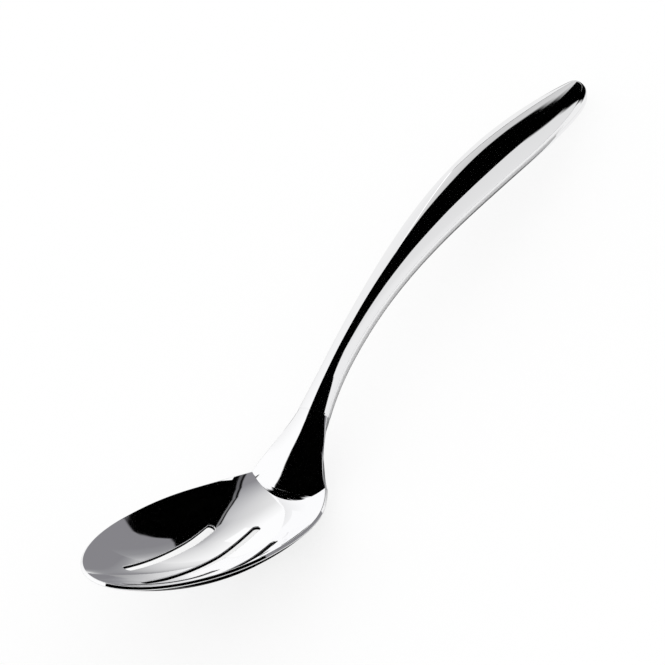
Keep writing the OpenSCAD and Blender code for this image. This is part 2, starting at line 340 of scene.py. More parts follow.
def steel_piece(name, node, patches, finish, walls=(), wall_finish=None):
    """One closed mesh of patches, welded where they meet, that stands for a CAD node.

    The walls are patches with a finish of their own.
    """
    patches = list(patches) + list(walls)
    starts = np.cumsum([0] + [len(p[0]) for p in patches[:-1]])
    points = np.concatenate([p[0] for p in patches])
    normals = turned(unit(np.concatenate([p[1] for p in patches])))
    triangles = np.concatenate([p[2] + start for p, start in zip(patches, starts)])
    places = np.round(points / SAME_PLACE).astype(np.int64)
    _, first, same = np.unique(places, axis=0, return_index=True, return_inverse=True)
    corners = same.reshape(-1)[triangles]
    whole = (corners != np.roll(corners, 1, 1)).all(1)
    mesh = bpy.data.meshes.new(name)
    mesh.from_pydata(((turned(points[first]) + REST_SHIFT) / 1000).tolist(), [], corners[whole].tolist())
    mesh.shade_smooth()
    mesh.normals_split_custom_set(normals[triangles[whole]].reshape(-1, 3).tolist())
    mesh.materials.append(finish)
    if wall_finish:
        mesh.materials.append(wall_finish)
        counts = [len(p[2]) for p in patches]
        on_wall = np.repeat(np.arange(len(patches)) >= len(patches) - len(walls), counts)
        mesh.polygons.foreach_set("material_index", on_wall[whole].astype(np.int32))
    piece = bpy.data.objects.new(name, mesh)
    bpy.context.collection.objects.link(piece)
    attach(piece, "root")
    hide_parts(node)
    return piece


def rounded_edge(face, normal, corner, corner_normal, under, under_normal, under_corner, radius):
    """Points and normals over an edge of the sheet: a quarter round, a flat, a quarter round.

    Each round is the conic from the face to the flat whose tangents meet in the corner.
    """
    share = np.linspace(0, 1, ROUND_STEPS + 1)
    weights = np.stack([(1 - share) ** 2, 2 ** 0.5 * share * (1 - share), share ** 2], -1)
    weights = weights / weights.sum(-1, keepdims=True)
    down = unit(under_corner - corner)
    outward = corner - face
    outward = unit(outward - (outward * corner_normal).sum(-1, keepdims=True) * corner_normal)
    upper = np.stack([face, corner, corner + down * radius])
    lower = np.stack([under, under_corner, under_corner - down * radius])
    points = [
        np.einsum("kc,cna->nka", weights, upper),
        np.einsum("kc,cna->nka", weights[::-1], lower)]
    cosine = np.cos(share * np.pi / 2)[None, :, None]
    sine = np.sin(share * np.pi / 2)[None, :, None]
    normals = [
        normal[:, None] * cosine + outward[:, None] * sine,
        under_normal[:, None] * cosine[:, ::-1] + outward[:, None] * sine[:, ::-1]]
    return np.concatenate(points, 1), np.concatenate(normals, 1)


# Slotted bowl with its shank and tang
# The rim's round starts this far inside the outline, seen from above
RIM_INSET = 0.75 * RIM_ROUND
# At the weld it starts this share of the shank's half width inside its edge
WELD_EDGE_SHARE = 0.04
# Where the shank's edge reaches the weld, its two rounds leave a third of the seam between
WELD_ROUND = SEAM_W / 3


def bowl_on_plan(plan):
    """Places and normals of the bowl's upper side over points (u, y) of its plan."""
    s = plan[:, 1] / np.maximum(half_width(plan[:, 0]), HAIR)
    return bowl(plan[:, 0], s), bowl_normal(plan[:, 0], s)


def rim_plan(inset):
    """Outline of the bowl: a half ellipse round the tip and the power curve on both sides."""
    turn = np.linspace(0, np.pi / 2, RIM_FRONT_ROWS + 1)
    back = np.linspace(BOWL_WIDEST, BOWL_L, RIM_REAR_ROWS + 1)[1:]
    slope = np.gradient(half_width(back), back)
    side = np.stack([
        np.concatenate([BOWL_WIDEST - (BOWL_WIDEST - inset) * np.cos(turn), back]),
        np.concatenate([
            (BOWL_W / 2 - inset) * np.sin(turn), half_width(back) - inset * np.hypot(1, slope)])], -1)
    return np.concatenate([side[::-1] * [1, -1], side[1:]])


def slot_plan(start, length, y, grown):
    """Outline of a slot grown by that much: two half circles and the straights between."""
    r = SLOT_W / 2
    turn = np.linspace(np.pi / 2, 3 * np.pi / 2, SLOT_END_POINTS)
    round_end = np.stack([np.cos(turn), np.sin(turn)], -1) * (r + grown)
    run = np.linspace(start + r, start + length - r, int(length / PLAN_STEP))[1:-1]
    front = round_end + [start + r, y]
    back = [start + length - r, y] - round_end
    right = np.stack([run, np.full_like(run, y - r - grown)], -1)
    left = np.stack([run[::-1], np.full_like(run, y + r + grown)], -1)
    return np.concatenate([front, right, back, left])


SLOTS = [(MIDDLE_SLOT_START, MIDDLE_SLOT_L, 0.0)]
SLOTS += [(SIDE_SLOT_START, SIDE_SLOT_L, side * SLOT_PITCH) for side in (-1, 1)]


def inside_slots(plan, grown):
    """True where a point of the plan lies in a slot grown by that much."""
    hit = np.zeros(len(plan), bool)
    for start, length, y in SLOTS:
        nearest = np.clip(plan[:, 0], start + SLOT_W / 2, start + length - SLOT_W / 2)
        hit |= np.hypot(plan[:, 0] - nearest, plan[:, 1] - y) < SLOT_W / 2 + grown
    return hit


def bowl_mesh_plan(outline):
    """Plan of the bowl's faces: staggered points filled in between the outline and slots."""
    columns = np.arange(1, int(BOWL_L / PLAN_STEP)) * PLAN_STEP
    rows = np.arange(-int(BOWL_W / 2 / PLAN_STEP), int(BOWL_W / 2 / PLAN_STEP) + 1) * PLAN_STEP
    u, y = np.meshgrid(columns, rows, indexing="ij")
    u = u + PLAN_STEP / 2 * (np.arange(len(rows)) % 2)[None, :]
    fill = np.stack([u.ravel(), y.ravel()], -1)
    clear = (np.abs(fill[:, 1]) < half_width(fill[:, 0]) - PLAN_STEP) & (fill[:, 0] > 2 * PLAN_STEP)
    clear &= (fill[:, 0] < BOWL_L - PLAN_STEP / 2) & ~inside_slots(fill, SLOT_ROUND + PLAN_STEP / 2)
    loops = [outline] + [slot_plan(*slot, SLOT_ROUND) for slot in SLOTS]
    starts = np.cumsum([0] + [len(loop) for loop in loops])
    edges = np.concatenate([
        start + np.stack([np.arange(len(loop)), np.roll(np.arange(len(loop)), -1)], -1)
        for start, loop in zip(starts, loops)])
    plan = np.concatenate(loops + [fill[clear]])
    _, _, faces, came_from, _, _ = delaunay_2d_cdt(
        [Vector(p) for p in plan], edges.tolist(), [], 0, SAME_PLAN_PLACE)
    index = np.array([source[0] for source in came_from])
    triangles = index[np.array(faces)]
    centres = plan[triangles].mean(1)
    return plan, triangles[~inside_slots(centres, SLOT_ROUND - MM_STEP)]


def sheet_patches():
    """The pressed sheet: bowl, fold, shank, rim and end, without the edges of the slots."""
    outer, inner = rim_plan(0), rim_plan(RIM_INSET)
    crease_share = inner[-1, 1] / half_width(BOWL_L)
    across = np.sin(np.linspace(-np.pi / 2, np.pi / 2, SHANK_COLUMNS + 1))
    crease_s = across * crease_share
    crease_plan = np.stack([np.full_like(crease_s, BOWL_L), half_width(BOWL_L) * crease_s], -1)
    plan, triangles = bowl_mesh_plan(np.concatenate([inner, crease_plan[-2:0:-1]]))
    top, top_n = bowl_on_plan(plan)
    patches = [patch(top, top_n, triangles), patch(top - SHEET_T * top_n, -top_n, triangles)]

    w = np.linspace(0, 1, SHANK_ROWS + 1)[:, None]
    shares = mix(crease_share, 1 - WELD_EDGE_SHARE, w)
    shank_s = across * shares
    shank_top, shank_n = shank(w, shank_s), shank_normal(w, shank_s)
    under, under_n = shank_under(w, shank_s), shank_under_normal(w, shank_s)
    patches += [patch(shank_top, shank_n), patch(under, under_n)]

    fold = np.linspace(0, 1, FOLD_STEPS + 1)[:, None, None]
    crease, crease_n = bowl_on_plan(crease_plan)
    fold_n = unit(mix(crease_n, shank_n[0], fold))
    patches.append(patch(crease - SHEET_T * fold_n, -fold_n))

    rim_face, rim_face_n = bowl_on_plan(inner)
    rim_s = np.sign(outer[:, 1])
    rim, rim_n = bowl(outer[:, 0], rim_s), bowl_normal(outer[:, 0], rim_s)
    still = np.ones((FOLD_STEPS + 1, 1))
    rows = {}
    for name, end, s in (("right", 0, -1.0), ("left", -1, 1.0)):
        edge, edge_n = shank(w[:, 0], s), shank_normal(w[:, 0], s)
        edge_under = shank_under(w[:, 0], s)
        corner_n = unit(mix(rim_n[end], edge_n[0], fold[:, 0]))
        rows[name] = [
            np.concatenate(pair) for pair in (
                (still * rim_face[end], shank_top[1:, end]),
                (fold_n[:, end], shank_n[1:, end]),
                (still * rim[end], edge[1:]),
                (corner_n, edge_n[1:]),
                (crease[end] - SHEET_T * fold_n[:, end], under[1:, end]),
                (-fold_n[:, end], under_n[1:, end]),
                (rim[end] - SHEET_T * corner_n, edge_under[1:]))]
    rim_rows = [
        rim_face, rim_face_n, rim, rim_n, rim_face - SHEET_T * rim_face_n, -rim_face_n,
        rim - SHEET_T * rim_n]
    edge_rows = [
        np.concatenate([right[::-1], middle, left])
        for right, middle, left in zip(rows["right"], rim_rows, rows["left"])]
    still_rows = FOLD_STEPS + 1 + SHANK_ROWS
    radius = np.concatenate([
        np.linspace(WELD_ROUND, RIM_ROUND, still_rows),
        np.full(len(rim), RIM_ROUND),
        np.linspace(RIM_ROUND, WELD_ROUND, still_rows)])[:, None]
    patches.append(patch(*rounded_edge(*edge_rows, radius)))
    return patches


def slot_edge(start, length, y):
    """The two polished rounds at the edges of one slot, and the punched wall between them."""
    wide, true = (slot_plan(start, length, y, grown) for grown in (SLOT_ROUND, 0))
    face, face_n = bowl_on_plan(np.concatenate([wide, wide[:1]]))
    corner, corner_n = bowl_on_plan(np.concatenate([true, true[:1]]))
    points, normals = rounded_edge(
        face, face_n, corner, corner_n, face - SHEET_T * face_n, -face_n,
        corner - SHEET_T * corner_n, SLOT_ROUND)
    upper, lower = slice(None, ROUND_STEPS + 1), slice(ROUND_STEPS + 1, None)
    flat = slice(ROUND_STEPS, ROUND_STEPS + 2)
    return [patch(points[:, part], normals[:, part]) for part in (upper, lower, flat)]


def oval(centre, angle, half, top, under):
    """Closed oval section round a centre: half ellipses over and under a straight seam."""
    t = np.linspace(0, np.pi, HANDLE_COLUMNS + 1)
    t = np.concatenate([t, t + np.pi, [2 * np.pi + HAIR]])
    upper = np.sin(t) > -HAIR
    upper[[HANDLE_COLUMNS + 1, -2]] = False
    height = np.where(upper, SEAM_W / 2 + top * np.sin(t), under * np.sin(t) - SEAM_W / 2)
    lift = upright(np.broadcast_to(angle, t.shape))
    points = centre + lift * height[:, None] + sideways(-half * np.cos(t))
    rise = np.sin(t) / np.where(upper, top, under)
    return points, unit(lift * rise[:, None] + sideways(-np.cos(t) / half))


def end_face(loop, normal):
    """Flat face inside a closed loop, as triangles to its middle."""
    middle = np.broadcast_to(loop.mean(0), loop.shape)
    return patch(np.stack([loop, middle]), normal)


TANG_HALF = min(NECK_W, WELD_W) / 2 - SHELL_T - TANG_GAP
TANG_TOP, TANG_UNDER = NECK_TOP - SHELL_T - TANG_GAP, NECK_UNDER - SHELL_T - TANG_GAP


def tang_patches():
    """The tang: an oval bar from the shank along the centre line of the handle."""
    loops = [oval(SHANK_END, NECK_ANGLE, TANG_HALF, TANG_TOP, TANG_UNDER)]
    loops += [
        oval(handle_line(s), handle_angle(s), TANG_HALF, TANG_TOP, TANG_UNDER)
        for s in np.linspace(0, TANG_L, TANG_LOOPS)]
    points, normals = (np.stack(side) for side in zip(*loops))
    return [
        patch(points, normals),
        end_face(points[0], -heading(NECK_ANGLE)),
        end_face(points[-1], heading(handle_angle(TANG_L)))]


def handle_rows():
    """Places along the handle, closer towards its round end: the sine of equal steps."""
    return HANDLE_L * np.sin(np.linspace(0, np.pi / 2, HANDLE_ROWS + 1))


def shell_patches(side):
    """A shell of the handle: its outside, its inside, and the faces between them."""
    s = handle_rows()[:, None]
    t = np.linspace(0, np.pi, HANDLE_COLUMNS + 1)
    near_end = np.clip(s, MM_STEP, HANDLE_L - 2 * MM_STEP)
    outside, inside = shell_surface(side, 0.0), shell_surface(side, SHELL_T)
    outer, inner = outside(s, t), inside(s, t)
    outer_n = side * normals_of(outside, near_end, t, MM_STEP, SHARE_STEP)
    inner_n = -side * normals_of(inside, near_end, t, MM_STEP, SHARE_STEP)
    seam_n = -side * upright(handle_angle(s[:, 0]))[:, None]
    return [
        patch(outer, outer_n),
        patch(inner, inner_n),
        patch(np.stack([outer[:, 0], inner[:, 0]], 1), seam_n),
        patch(np.stack([outer[:, -1], inner[:, -1]], 1), seam_n),
        patch(np.stack([outer[0], inner[0]]), -heading(NECK_ANGLE)),
        patch(np.stack([outer[-1], inner[-1]]), -side * upright(END_ANGLE))]


def seam_patches():
    """The seam weld: a strip up the right side, round the end and down the left side."""
    s = handle_rows()
    both = np.concatenate([s, s[::-1]])
    t = np.concatenate([0 * s, 0 * s + np.pi])
    grids = {}
    for name, inset in (("outer", 0.0), ("inner", SHELL_T)):
        over, below = (shell_surface(side, inset)(both, t) for side in (1, -1))
        grids[name] = np.stack([over, below], 1)
    run = np.gradient(grids["outer"].mean(1), axis=0)
    out = unit(np.cross(run, upright(handle_angle(both))))[:, None]
    lift = upright(handle_angle(both))[:, None]
    outer, inner = grids["outer"], grids["inner"]
    ends = [patch(np.stack([outer[k], inner[k]]), -heading(NECK_ANGLE)) for k in (0, -1)]
    return ends + [
        patch(outer, out),
        patch(inner, -out),
        patch(np.stack([outer[:, 0], inner[:, 0]], 1), lift),
        patch(np.stack([outer[:, 1], inner[:, 1]], 1), -lift)]


# The neck weld is ground a little hollow between the shank and the shells
NECK_WELD_HOLLOW = 0.01


def neck_weld_patches():
    """The neck weld: a ring round the tang, ground flush and a little hollow."""
    along = np.linspace(0, NECK_WELD_L, WELD_LOOPS)
    hollow = NECK_WELD_HOLLOW * np.sin(np.pi * along / NECK_WELD_L)
    loops = [
        oval(SHANK_END + heading(NECK_ANGLE) * d, NECK_ANGLE, WELD_W / 2 - h, NECK_TOP - h, NECK_UNDER - h)
        for d, h in zip(along, hollow)]
    outer, outer_n = (np.stack(side) for side in zip(*loops))
    holes = [
        oval(SHANK_END + heading(NECK_ANGLE) * d, NECK_ANGLE, TANG_HALF, TANG_TOP, TANG_UNDER)
        for d in (0, NECK_WELD_L)]
    inner, inner_n = (np.stack(side) for side in zip(*holes))
    tilt = np.gradient(hollow, along)[:, None, None]
    return [
        patch(outer, unit(outer_n + tilt * heading(NECK_ANGLE))),
        patch(inner, -inner_n),
        patch(np.stack([outer[0], inner[0]]), -heading(NECK_ANGLE)),
        patch(np.stack([outer[-1], inner[-1]]), heading(NECK_ANGLE))]


# Materials
def linear(hex_colour, alpha=1.0):
    """Linear colour of an sRGB hex value."""
    parts = np.array([int(hex_colour[k:k + 2], 16) for k in (1, 3, 5)]) / 255
    return (*np.where(parts <= 0.04045, parts / 12.92, ((parts + 0.055) / 1.055) ** 2.4), alpha)


def add(tree, kind, inputs=None, **settings):
    """A node of that kind, with its settings, and with its inputs set or linked."""
    node = tree.nodes.new(kind)
    for name, value in settings.items():
        setattr(node, name, value)
    for name, value in (inputs or {}).items():
        if isinstance(value, bpy.types.NodeSocket):
            tree.links.new(value, node.inputs[name])
        else:
            node.inputs[name].default_value = value
    return node


def new_material(name):
    """A material with an empty node tree, and that tree."""
    material = bpy.data.materials.new(name)
    material.use_nodes = True
    material.node_tree.nodes.clear()
    return material, material.node_tree


# Polishing lines run along the spoon, this many times longer than wide, in three sizes. The
# noise that draws them keeps mostly between these two values.
LINE_STRETCH, LINE_DETAIL = 60, 3.0
NOISE_LOW, NOISE_HIGH = 0.3, 0.7


def polished_steel(name, colour, smooth, dull, line_mm):
    """Stainless steel polished to a mirror: polishing lines vary its roughness a little."""
    material, tree = new_material(name)
    across = 1000 / line_mm
    place = add(tree, "ShaderNodeTexCoord")
    lines = add(tree, "ShaderNodeMapping", {
        "Vector": place.outputs["Object"], "Scale": (across / LINE_STRETCH, across, across)})
    grain = add(tree, "ShaderNodeTexNoise", {
        "Vector": lines.outputs["Vector"], "Scale": 1.0, "Detail": LINE_DETAIL})
    rough = add(tree, "ShaderNodeMapRange", {
        "Value": grain.outputs["Fac"], "From Min": NOISE_LOW, "From Max": NOISE_HIGH,
        "To Min": smooth, "To Max": dull})
    shader = add(tree, "ShaderNodeBsdfPrincipled", {
        "Base Color": linear(colour), "Metallic": 1.0, "Roughness": rough.outputs["Result"]})
    add(tree, "ShaderNodeOutputMaterial", {"Surface": shader.outputs["BSDF"]})
    return material


# Mirror-polished 18/8 stainless steel: pressed, then buffed until it reflects like glass
mirror_steel = polished_steel("mirror polished 18-8 stainless steel", "#fdfdfe", 0.02, 0.04, 0.4)
# The same steel along the welds, ground flush and buffed, a little less sharp
ground_weld = polished_steel("ground and buffed stainless weld", "#f8f8f9", 0.04, 0.07, 0.3)
# The walls of the slots, painted near black as the shade inside each slot: a dark, matt line round each
# slot
slot_wall_painted_shade = polished_steel("stainless slot wall painted dark as shade", "#242426", 0.3, 0.45, 0.2)

slot_edges = [slot_edge(*slot) for slot in SLOTS]
slot_rounds = [part for edge in slot_edges for part in edge[:2]]
bowl_sheet = steel_piece(
    "slotted_bowl_sheet", "slotted_bowl", sheet_patches() + slot_rounds + tang_patches(),
    mirror_steel, [edge[2] for edge in slot_edges], slot_wall_painted_shade)
handle_pieces = [
    steel_piece("handle_upper_shell", "handle_top_shell", shell_patches(1), mirror_steel),
    steel_piece("handle_lower_shell", "handle_bottom_shell", shell_patches(-1), mirror_steel),
    steel_piece("handle_seam", "seam_weld", seam_patches(), ground_weld),
    steel_piece("neck_ring", "neck_weld", neck_weld_patches(), ground_weld)]

# Table: its paper is white to the camera too, by its own light OWN_WHITE, under the little
# shadow that it keeps. The metal sees it as SEEN_PAPER, a painted grey, with painted shade
# that darkens it within COVER_REACH, in metres, of what covers it.
TABLE = 3.0
OWN_WHITE = 0.8
SEEN_PAPER, COVER_REACH, COVER_POWER, COVER_SAMPLES = 0.88, 0.12, 4.0, 8
table_mesh = bpy.data.meshes.new("table")
table_mesh.from_pydata(
    [(x * TABLE, y * TABLE, 0) for x, y in ((-1, -1), (1, -1), (1, 1), (-1, 1))], [], [(0, 1, 2, 3)])
table = bpy.data.objects.new("table", table_mesh)
bpy.context.collection.objects.link(table)
white_paper, tree = new_material("white table paper")
rays = add(tree, "ShaderNodeLightPath")
# Painted shade: in the metal's reflections only, the paper darkens near what covers it
cover = add(tree, "ShaderNodeAmbientOcclusion", {"Distance": COVER_REACH}, samples=COVER_SAMPLES)
open_sky = add(tree, "ShaderNodeMath", {0: cover.outputs["AO"], 1: COVER_POWER}, operation="POWER")
paper_with_painted_shade = add(tree, "ShaderNodeMath", {0: open_sky.outputs[0], 1: SEEN_PAPER}, operation="MULTIPLY")
shade = add(tree, "ShaderNodeMix", {
    "Factor": rays.outputs["Is Glossy Ray"], "A": 1.0, "B": paper_with_painted_shade.outputs[0]}, data_type="FLOAT")
paper = add(tree, "ShaderNodeBsdfDiffuse", {"Color": shade.outputs["Result"]})
glow = add(tree, "ShaderNodeEmission", {"Color": linear("#ffffff"), "Strength": 1.0})
own = add(tree, "ShaderNodeMath", {0: rays.outputs["Is Camera Ray"], 1: OWN_WHITE}, operation="MULTIPLY")
both = add(tree, "ShaderNodeMixShader", {0: own.outputs[0], 1: paper.outputs[0], 2: glow.outputs[0]})
add(tree, "ShaderNodeOutputMaterial", {"Surface": both.outputs[0]})
table_mesh.materials.append(white_paper)


# Studio: a white room with a painted reflection of dark cloth high up, which only the polished
# metal sees. Each edge of the cloth is an outline of azimuth and elevation, in degrees.
OVERHEAD = 90.0


def place_in_room(tree, coordinate):
    """Azimuth and elevation in degrees of the direction that a coordinate points in."""
    place = add(tree, "ShaderNodeTexCoord").outputs[coordinate]
    way = add(tree, "ShaderNodeVectorMath", {0: place}, operation="NORMALIZE")
    axes = add(tree, "ShaderNodeSeparateXYZ", {"Vector": way.outputs[0]})
    azimuth = add(tree, "ShaderNodeMath", {0: axes.outputs["Y"], 1: axes.outputs["X"]}, operation="ARCTAN2")
    elevation = add(tree, "ShaderNodeMath", {0: axes.outputs["Z"]}, operation="ARCSINE")
    return [
        add(tree, "ShaderNodeMath", {0: angle.outputs[0]}, operation="DEGREES").outputs[0]
        for angle in (azimuth, elevation)]


def over_edge(tree, azimuth, elevation, edge):
    """Degrees above an edge, whose outline runs straight between its (azimuth, elevation)."""
    first, last = edge[0][0], edge[-1][0]
    share = add(tree, "ShaderNodeMapRange", {"Value": azimuth, "From Min": first, "From Max": last})
    curve = tree.nodes.new("ShaderNodeFloatCurve")
    line = curve.mapping.curves[0]
    while len(line.points) < len(edge):
        line.points.new(0.5, 0.5)
    for point, (at, height) in zip(line.points, edge):
        point.location = ((at - first) / (last - first), height / OVERHEAD)
        point.handle_type = "VECTOR"
    curve.mapping.update()
    tree.links.new(share.outputs["Result"], curve.inputs["Value"])
    high = add(tree, "ShaderNodeMath", {0: curve.outputs[0], 1: OVERHEAD}, operation="MULTIPLY")
    return add(tree, "ShaderNodeMath", {0: elevation, 1: high.outputs[0]}, operation="SUBTRACT").outputs[0]


def ramp(tree, value, stops):
    """Grey over a value: sRGB greys at the stops, blended between them."""
    low, high = stops[0][0], stops[-1][0]
    share = add(tree, "ShaderNodeMapRange", {"Value": value, "From Min": low, "From Max": high})
    band = add(tree, "ShaderNodeValToRGB", {"Fac": share.outputs["Result"]})
    while len(band.color_ramp.elements) < len(stops):
        band.color_ramp.elements.new(0.5)
    for element, (at, colour) in zip(band.color_ramp.elements, stops):
        element.position = (at - low) / (high - low)
        element.color = linear(colour)
    return band.outputs["Color"]


def times(tree, a, b):
    """Product of two colours."""
    both = add(tree, "ShaderNodeVectorMath", {0: a, 1: b}, operation="MULTIPLY")
    return both.outputs[0]


# The part of the room whose painted reflection the bowl and the handle see differently, as
# azimuths, and how far its ends take to turn dark
APART, APART_END = (-100, 46), 0.5
# Lower edge of the dark cloth round the room, and how soft it looks
SKYLINE = [
    (-180, 47), (-150, 30), (-100, 28), (46, 34), (48, 38), (60, 50), (75, 56), (90, 58), (103, 58),
    (111, 55), (115, 52), (119, 48.5), (123, 46), (131, 40), (135, 35.5), (137.5, 31), (139, 26),
    (141, 20), (150, 17), (180, 47)]
CLOTH = [(-0.6, "#ffffff"), (0.6, "#000000")]
ROOM_GREYS = [(-180, "#ffffff"), (46, "#ececec"), (75, "#f6f6f6"), (100, "#ffffff"), (180, "#ffffff")]
# A reflection of a reflection sees painted dark cloth low down instead, under this edge
AGAIN_EDGE = [
    (-180, 61.5), (-172, 62), (-165, 0), (138, 0), (140, 26), (143, 28), (159, 51), (162, 53), (168, 53),
    (171, 54.5), (174, 56.5), (177, 59.5), (180, 61.5)]
# The painted reflection that the handle sees over APART: the lower edge of the cloth, the upper
# edge of the dark cloth low behind the spoon, and the greys of the room between them
HANDLE_SKYLINE = [
    (-100, 30), (-83, 35), (-79, 44), (-76, 60), (-72, 70), (-64, 73), (-50, 75), (-40, 76), (-20, 69),
    (-8, 63), (2, 55), (8, 44), (10, 34), (11, 30), (12, 19), (18, 18.7), (21, 18), (23, 17.2),
    (25, 16), (28, 14.6), (30, 12.7), (32, 11), (35, 10), (37, 11.5), (38, 14), (39, 17.5),
    (40, 20), (43, 25), (46, 33)]
HANDLE_FOOTLINE = [
    (-100, 0), (-16, 0), (-15, 5), (-12, 11), (-8, 16.5), (-4, 19.5), (0, 21), (4, 24), (8, 26),
    (11, 27), (12, 60), (20, 60), (21, 0), (46, 0)]
LOW_CLOTH = [(-0.5, "#000000"), (1.5, "#ffffff")]
HANDLE_GREYS = [
    (-100, "#f0f0f0"), (-62, "#ececec"), (-40, "#e3e3e3"), (10, "#e0e0e0"), (38, "#cacaca"),
    (46, "#dcdcdc")]
# The painted reflection that the bowl sees there: low down, greys that lighten with azimuth;
# high up, greys that lighten with azimuth and, by BOWL_RISE, with elevation; and a dark pane
# over both
LOW_GREYS = [
    (3, "#868589"), (8, "#919194"), (11, "#a8a8aa"), (15, "#d1d1d2"), (20, "#e4e4e4"), (25, "#f1f1f1"),
    (30, "#fbfbfb"), (35, "#ffffff")]
HIGH_GREYS = [
    (-12, "#868589"), (8, "#8c8b8f"), (18, "#a5a5a8"), (28, "#bbbbbd"), (38, "#cfcfd0"),
    (48, "#dddddd"), (68, "#f4f4f4"), (78, "#ffffff")]
HIGH_FROM, BOWL_RISE = (22.0, 35.0), 0.7
# The painted reflection that a reflection of a reflection in the bowl sees there: greys that
# lighten with azimuth and, by AGAIN_RISE, with elevation
AGAIN_GREYS = [
    (4, "#868589"), (8, "#9e9e9f"), (13, "#b9b9ba"), (19, "#d5d5d5"), (25, "#e5e5e5"), (31, "#fbfbfb"),
    (36, "#ffffff")]
AGAIN_RISE = 1.2
# The dark pane of the bowl's painted reflection: its upper edge, the light and dark border over that, and
# its foot
PANE_TOP = [
    (-100, 85), (-56, 85), (-48, 51), (-45, 51), (-25, 48), (-12, 44), (-5, 40), (3, 34), (8, 30),
    (9.5, 8), (46, 8)]
PANE_BORDER = [
    (-0.3, "#000000"), (0, "#b0b0b0"), (0.8, "#b0b0b0"), (1.1, "#202020"), (1.8, "#202020"),
    (2.2, "#ffffff")]
PANE_FOOT = [
    (-100, 26), (-56, 26), (-50, 22), (-40, 10), (-10, 10), (-4, 11.8), (0, 14.3), (4, 13.3),
    (8, 11.5), (46, 11)]
UNDER_PANE = [(-0.3, "#ffffff"), (0.3, "#000000")]


# A ray counts its reflections: more than this many is a reflection of a reflection
ONCE = 1.5


def once_or_again(tree, once, again):
    """Painted reflections: one colour in a first reflection, and another in a reflection of a reflection.
    """
    rays = add(tree, "ShaderNodeLightPath")
    repeated = add(
        tree, "ShaderNodeMath", {0: rays.outputs["Glossy Depth"], 1: ONCE}, operation="GREATER_THAN")
    return add(tree, "ShaderNodeMix", {
        "Factor": repeated.outputs[0], "A": once, "B": again}, data_type="RGBA").outputs["Result"]


# The world is plain white to the camera and to light; only glossy rays see its painted reflection
world = bpy.data.worlds.new("studio")
bpy.context.scene.world = world
world.use_nodes = True
tree = world.node_tree
tree.nodes.clear()
azimuth, elevation = place_in_room(tree, "Generated")
cloth = once_or_again(
    tree, ramp(tree, over_edge(tree, azimuth, elevation, SKYLINE), CLOTH),
    ramp(tree, over_edge(tree, azimuth, elevation, AGAIN_EDGE), LOW_CLOTH))
aside = ramp(tree, azimuth, [
    (APART[0], "#ffffff"), (APART[0] + APART_END, "#000000"),
    (APART[1] - APART_END, "#000000"), (APART[1], "#ffffff")])
seen = times(tree, times(tree, cloth, aside), ramp(tree, azimuth, ROOM_GREYS))
rays = add(tree, "ShaderNodeLightPath")
shown = add(tree, "ShaderNodeMix", {
    "Factor": rays.outputs["Is Glossy Ray"], "A": linear("#ffffff"), "B": seen}, data_type="RGBA")
glow = add(tree, "ShaderNodeBackground", {"Color": shown.outputs["Result"], "Strength": 1.0})
add(tree, "ShaderNodeOutputWorld", {"Surface": glow.outputs["Background"]})


def card(name, points, colour, lit_pieces, clear=True):
    """A card of painted reflection that only the polished metal sees, and that lights only some pieces.

    A clear card lets what is behind it through. Any other hides it, and looks black to the
    pieces that it doesn't light.
    """
    mesh = bpy.data.meshes.new(name)
    rows, columns = points.shape[:2]
    mesh.from_pydata(points.reshape(-1, 3).tolist(), [], cells(rows, columns).tolist())
    material, tree = new_material(name)
    glow = add(tree, "ShaderNodeEmission", {"Color": colour(tree), "Strength": 1.0})
    behind = add(tree, "ShaderNodeBsdfTransparent", {"Color": linear("#ffffff" if clear else "#000000")})
    both = add(tree, "ShaderNodeAddShader", {0: glow.outputs[0], 1: behind.outputs[0]})
    add(tree, "ShaderNodeOutputMaterial", {"Surface": both.outputs[0]})
    material.cycles.emission_sampling = "NONE"
    mesh.materials.append(material)
    piece = bpy.data.objects.new(name, mesh)
    bpy.context.collection.objects.link(piece)
    piece.visible_camera = piece.visible_diffuse = piece.visible_shadow = False
    lit = bpy.data.collections.new(name)
    for lit_piece in lit_pieces:
        lit.objects.link(lit_piece)
    piece.light_linking.receiver_collection = lit
    return piece


# Two far round walls of painted reflection, the bowl's behind the handle's, from just under
# the table's edge to nearly overhead: their distances in metres, elevations, and rows and columns
HANDLE_WALL, BOWL_WALL = 30.0, 31.0
WALL_HEIGHTS = (-2, 89)
WALL_COLUMNS, WALL_ROWS = 74, 46


def wall(radius):
    """Grid of a far round wall over the azimuths APART."""
    a = np.radians(np.linspace(*APART, WALL_COLUMNS))[:, None]
    e = np.radians(np.linspace(*WALL_HEIGHTS, WALL_ROWS))[None, :]
    return radius * np.stack([np.cos(a) * np.cos(e), np.sin(a) * np.cos(e), np.sin(e) + 0 * a], -1)


def painted_handle_reflection(tree):
    """The painted reflection that the handle sees over the azimuths APART: the white room up to the cloth.
    """
    azimuth, elevation = place_in_room(tree, "Object")
    cloth = ramp(tree, over_edge(tree, azimuth, elevation, HANDLE_SKYLINE), CLOTH)
    low_cloth = ramp(tree, over_edge(tree, azimuth, elevation, HANDLE_FOOTLINE), LOW_CLOTH)
    return times(tree, times(tree, cloth, low_cloth), ramp(tree, azimuth, HANDLE_GREYS))


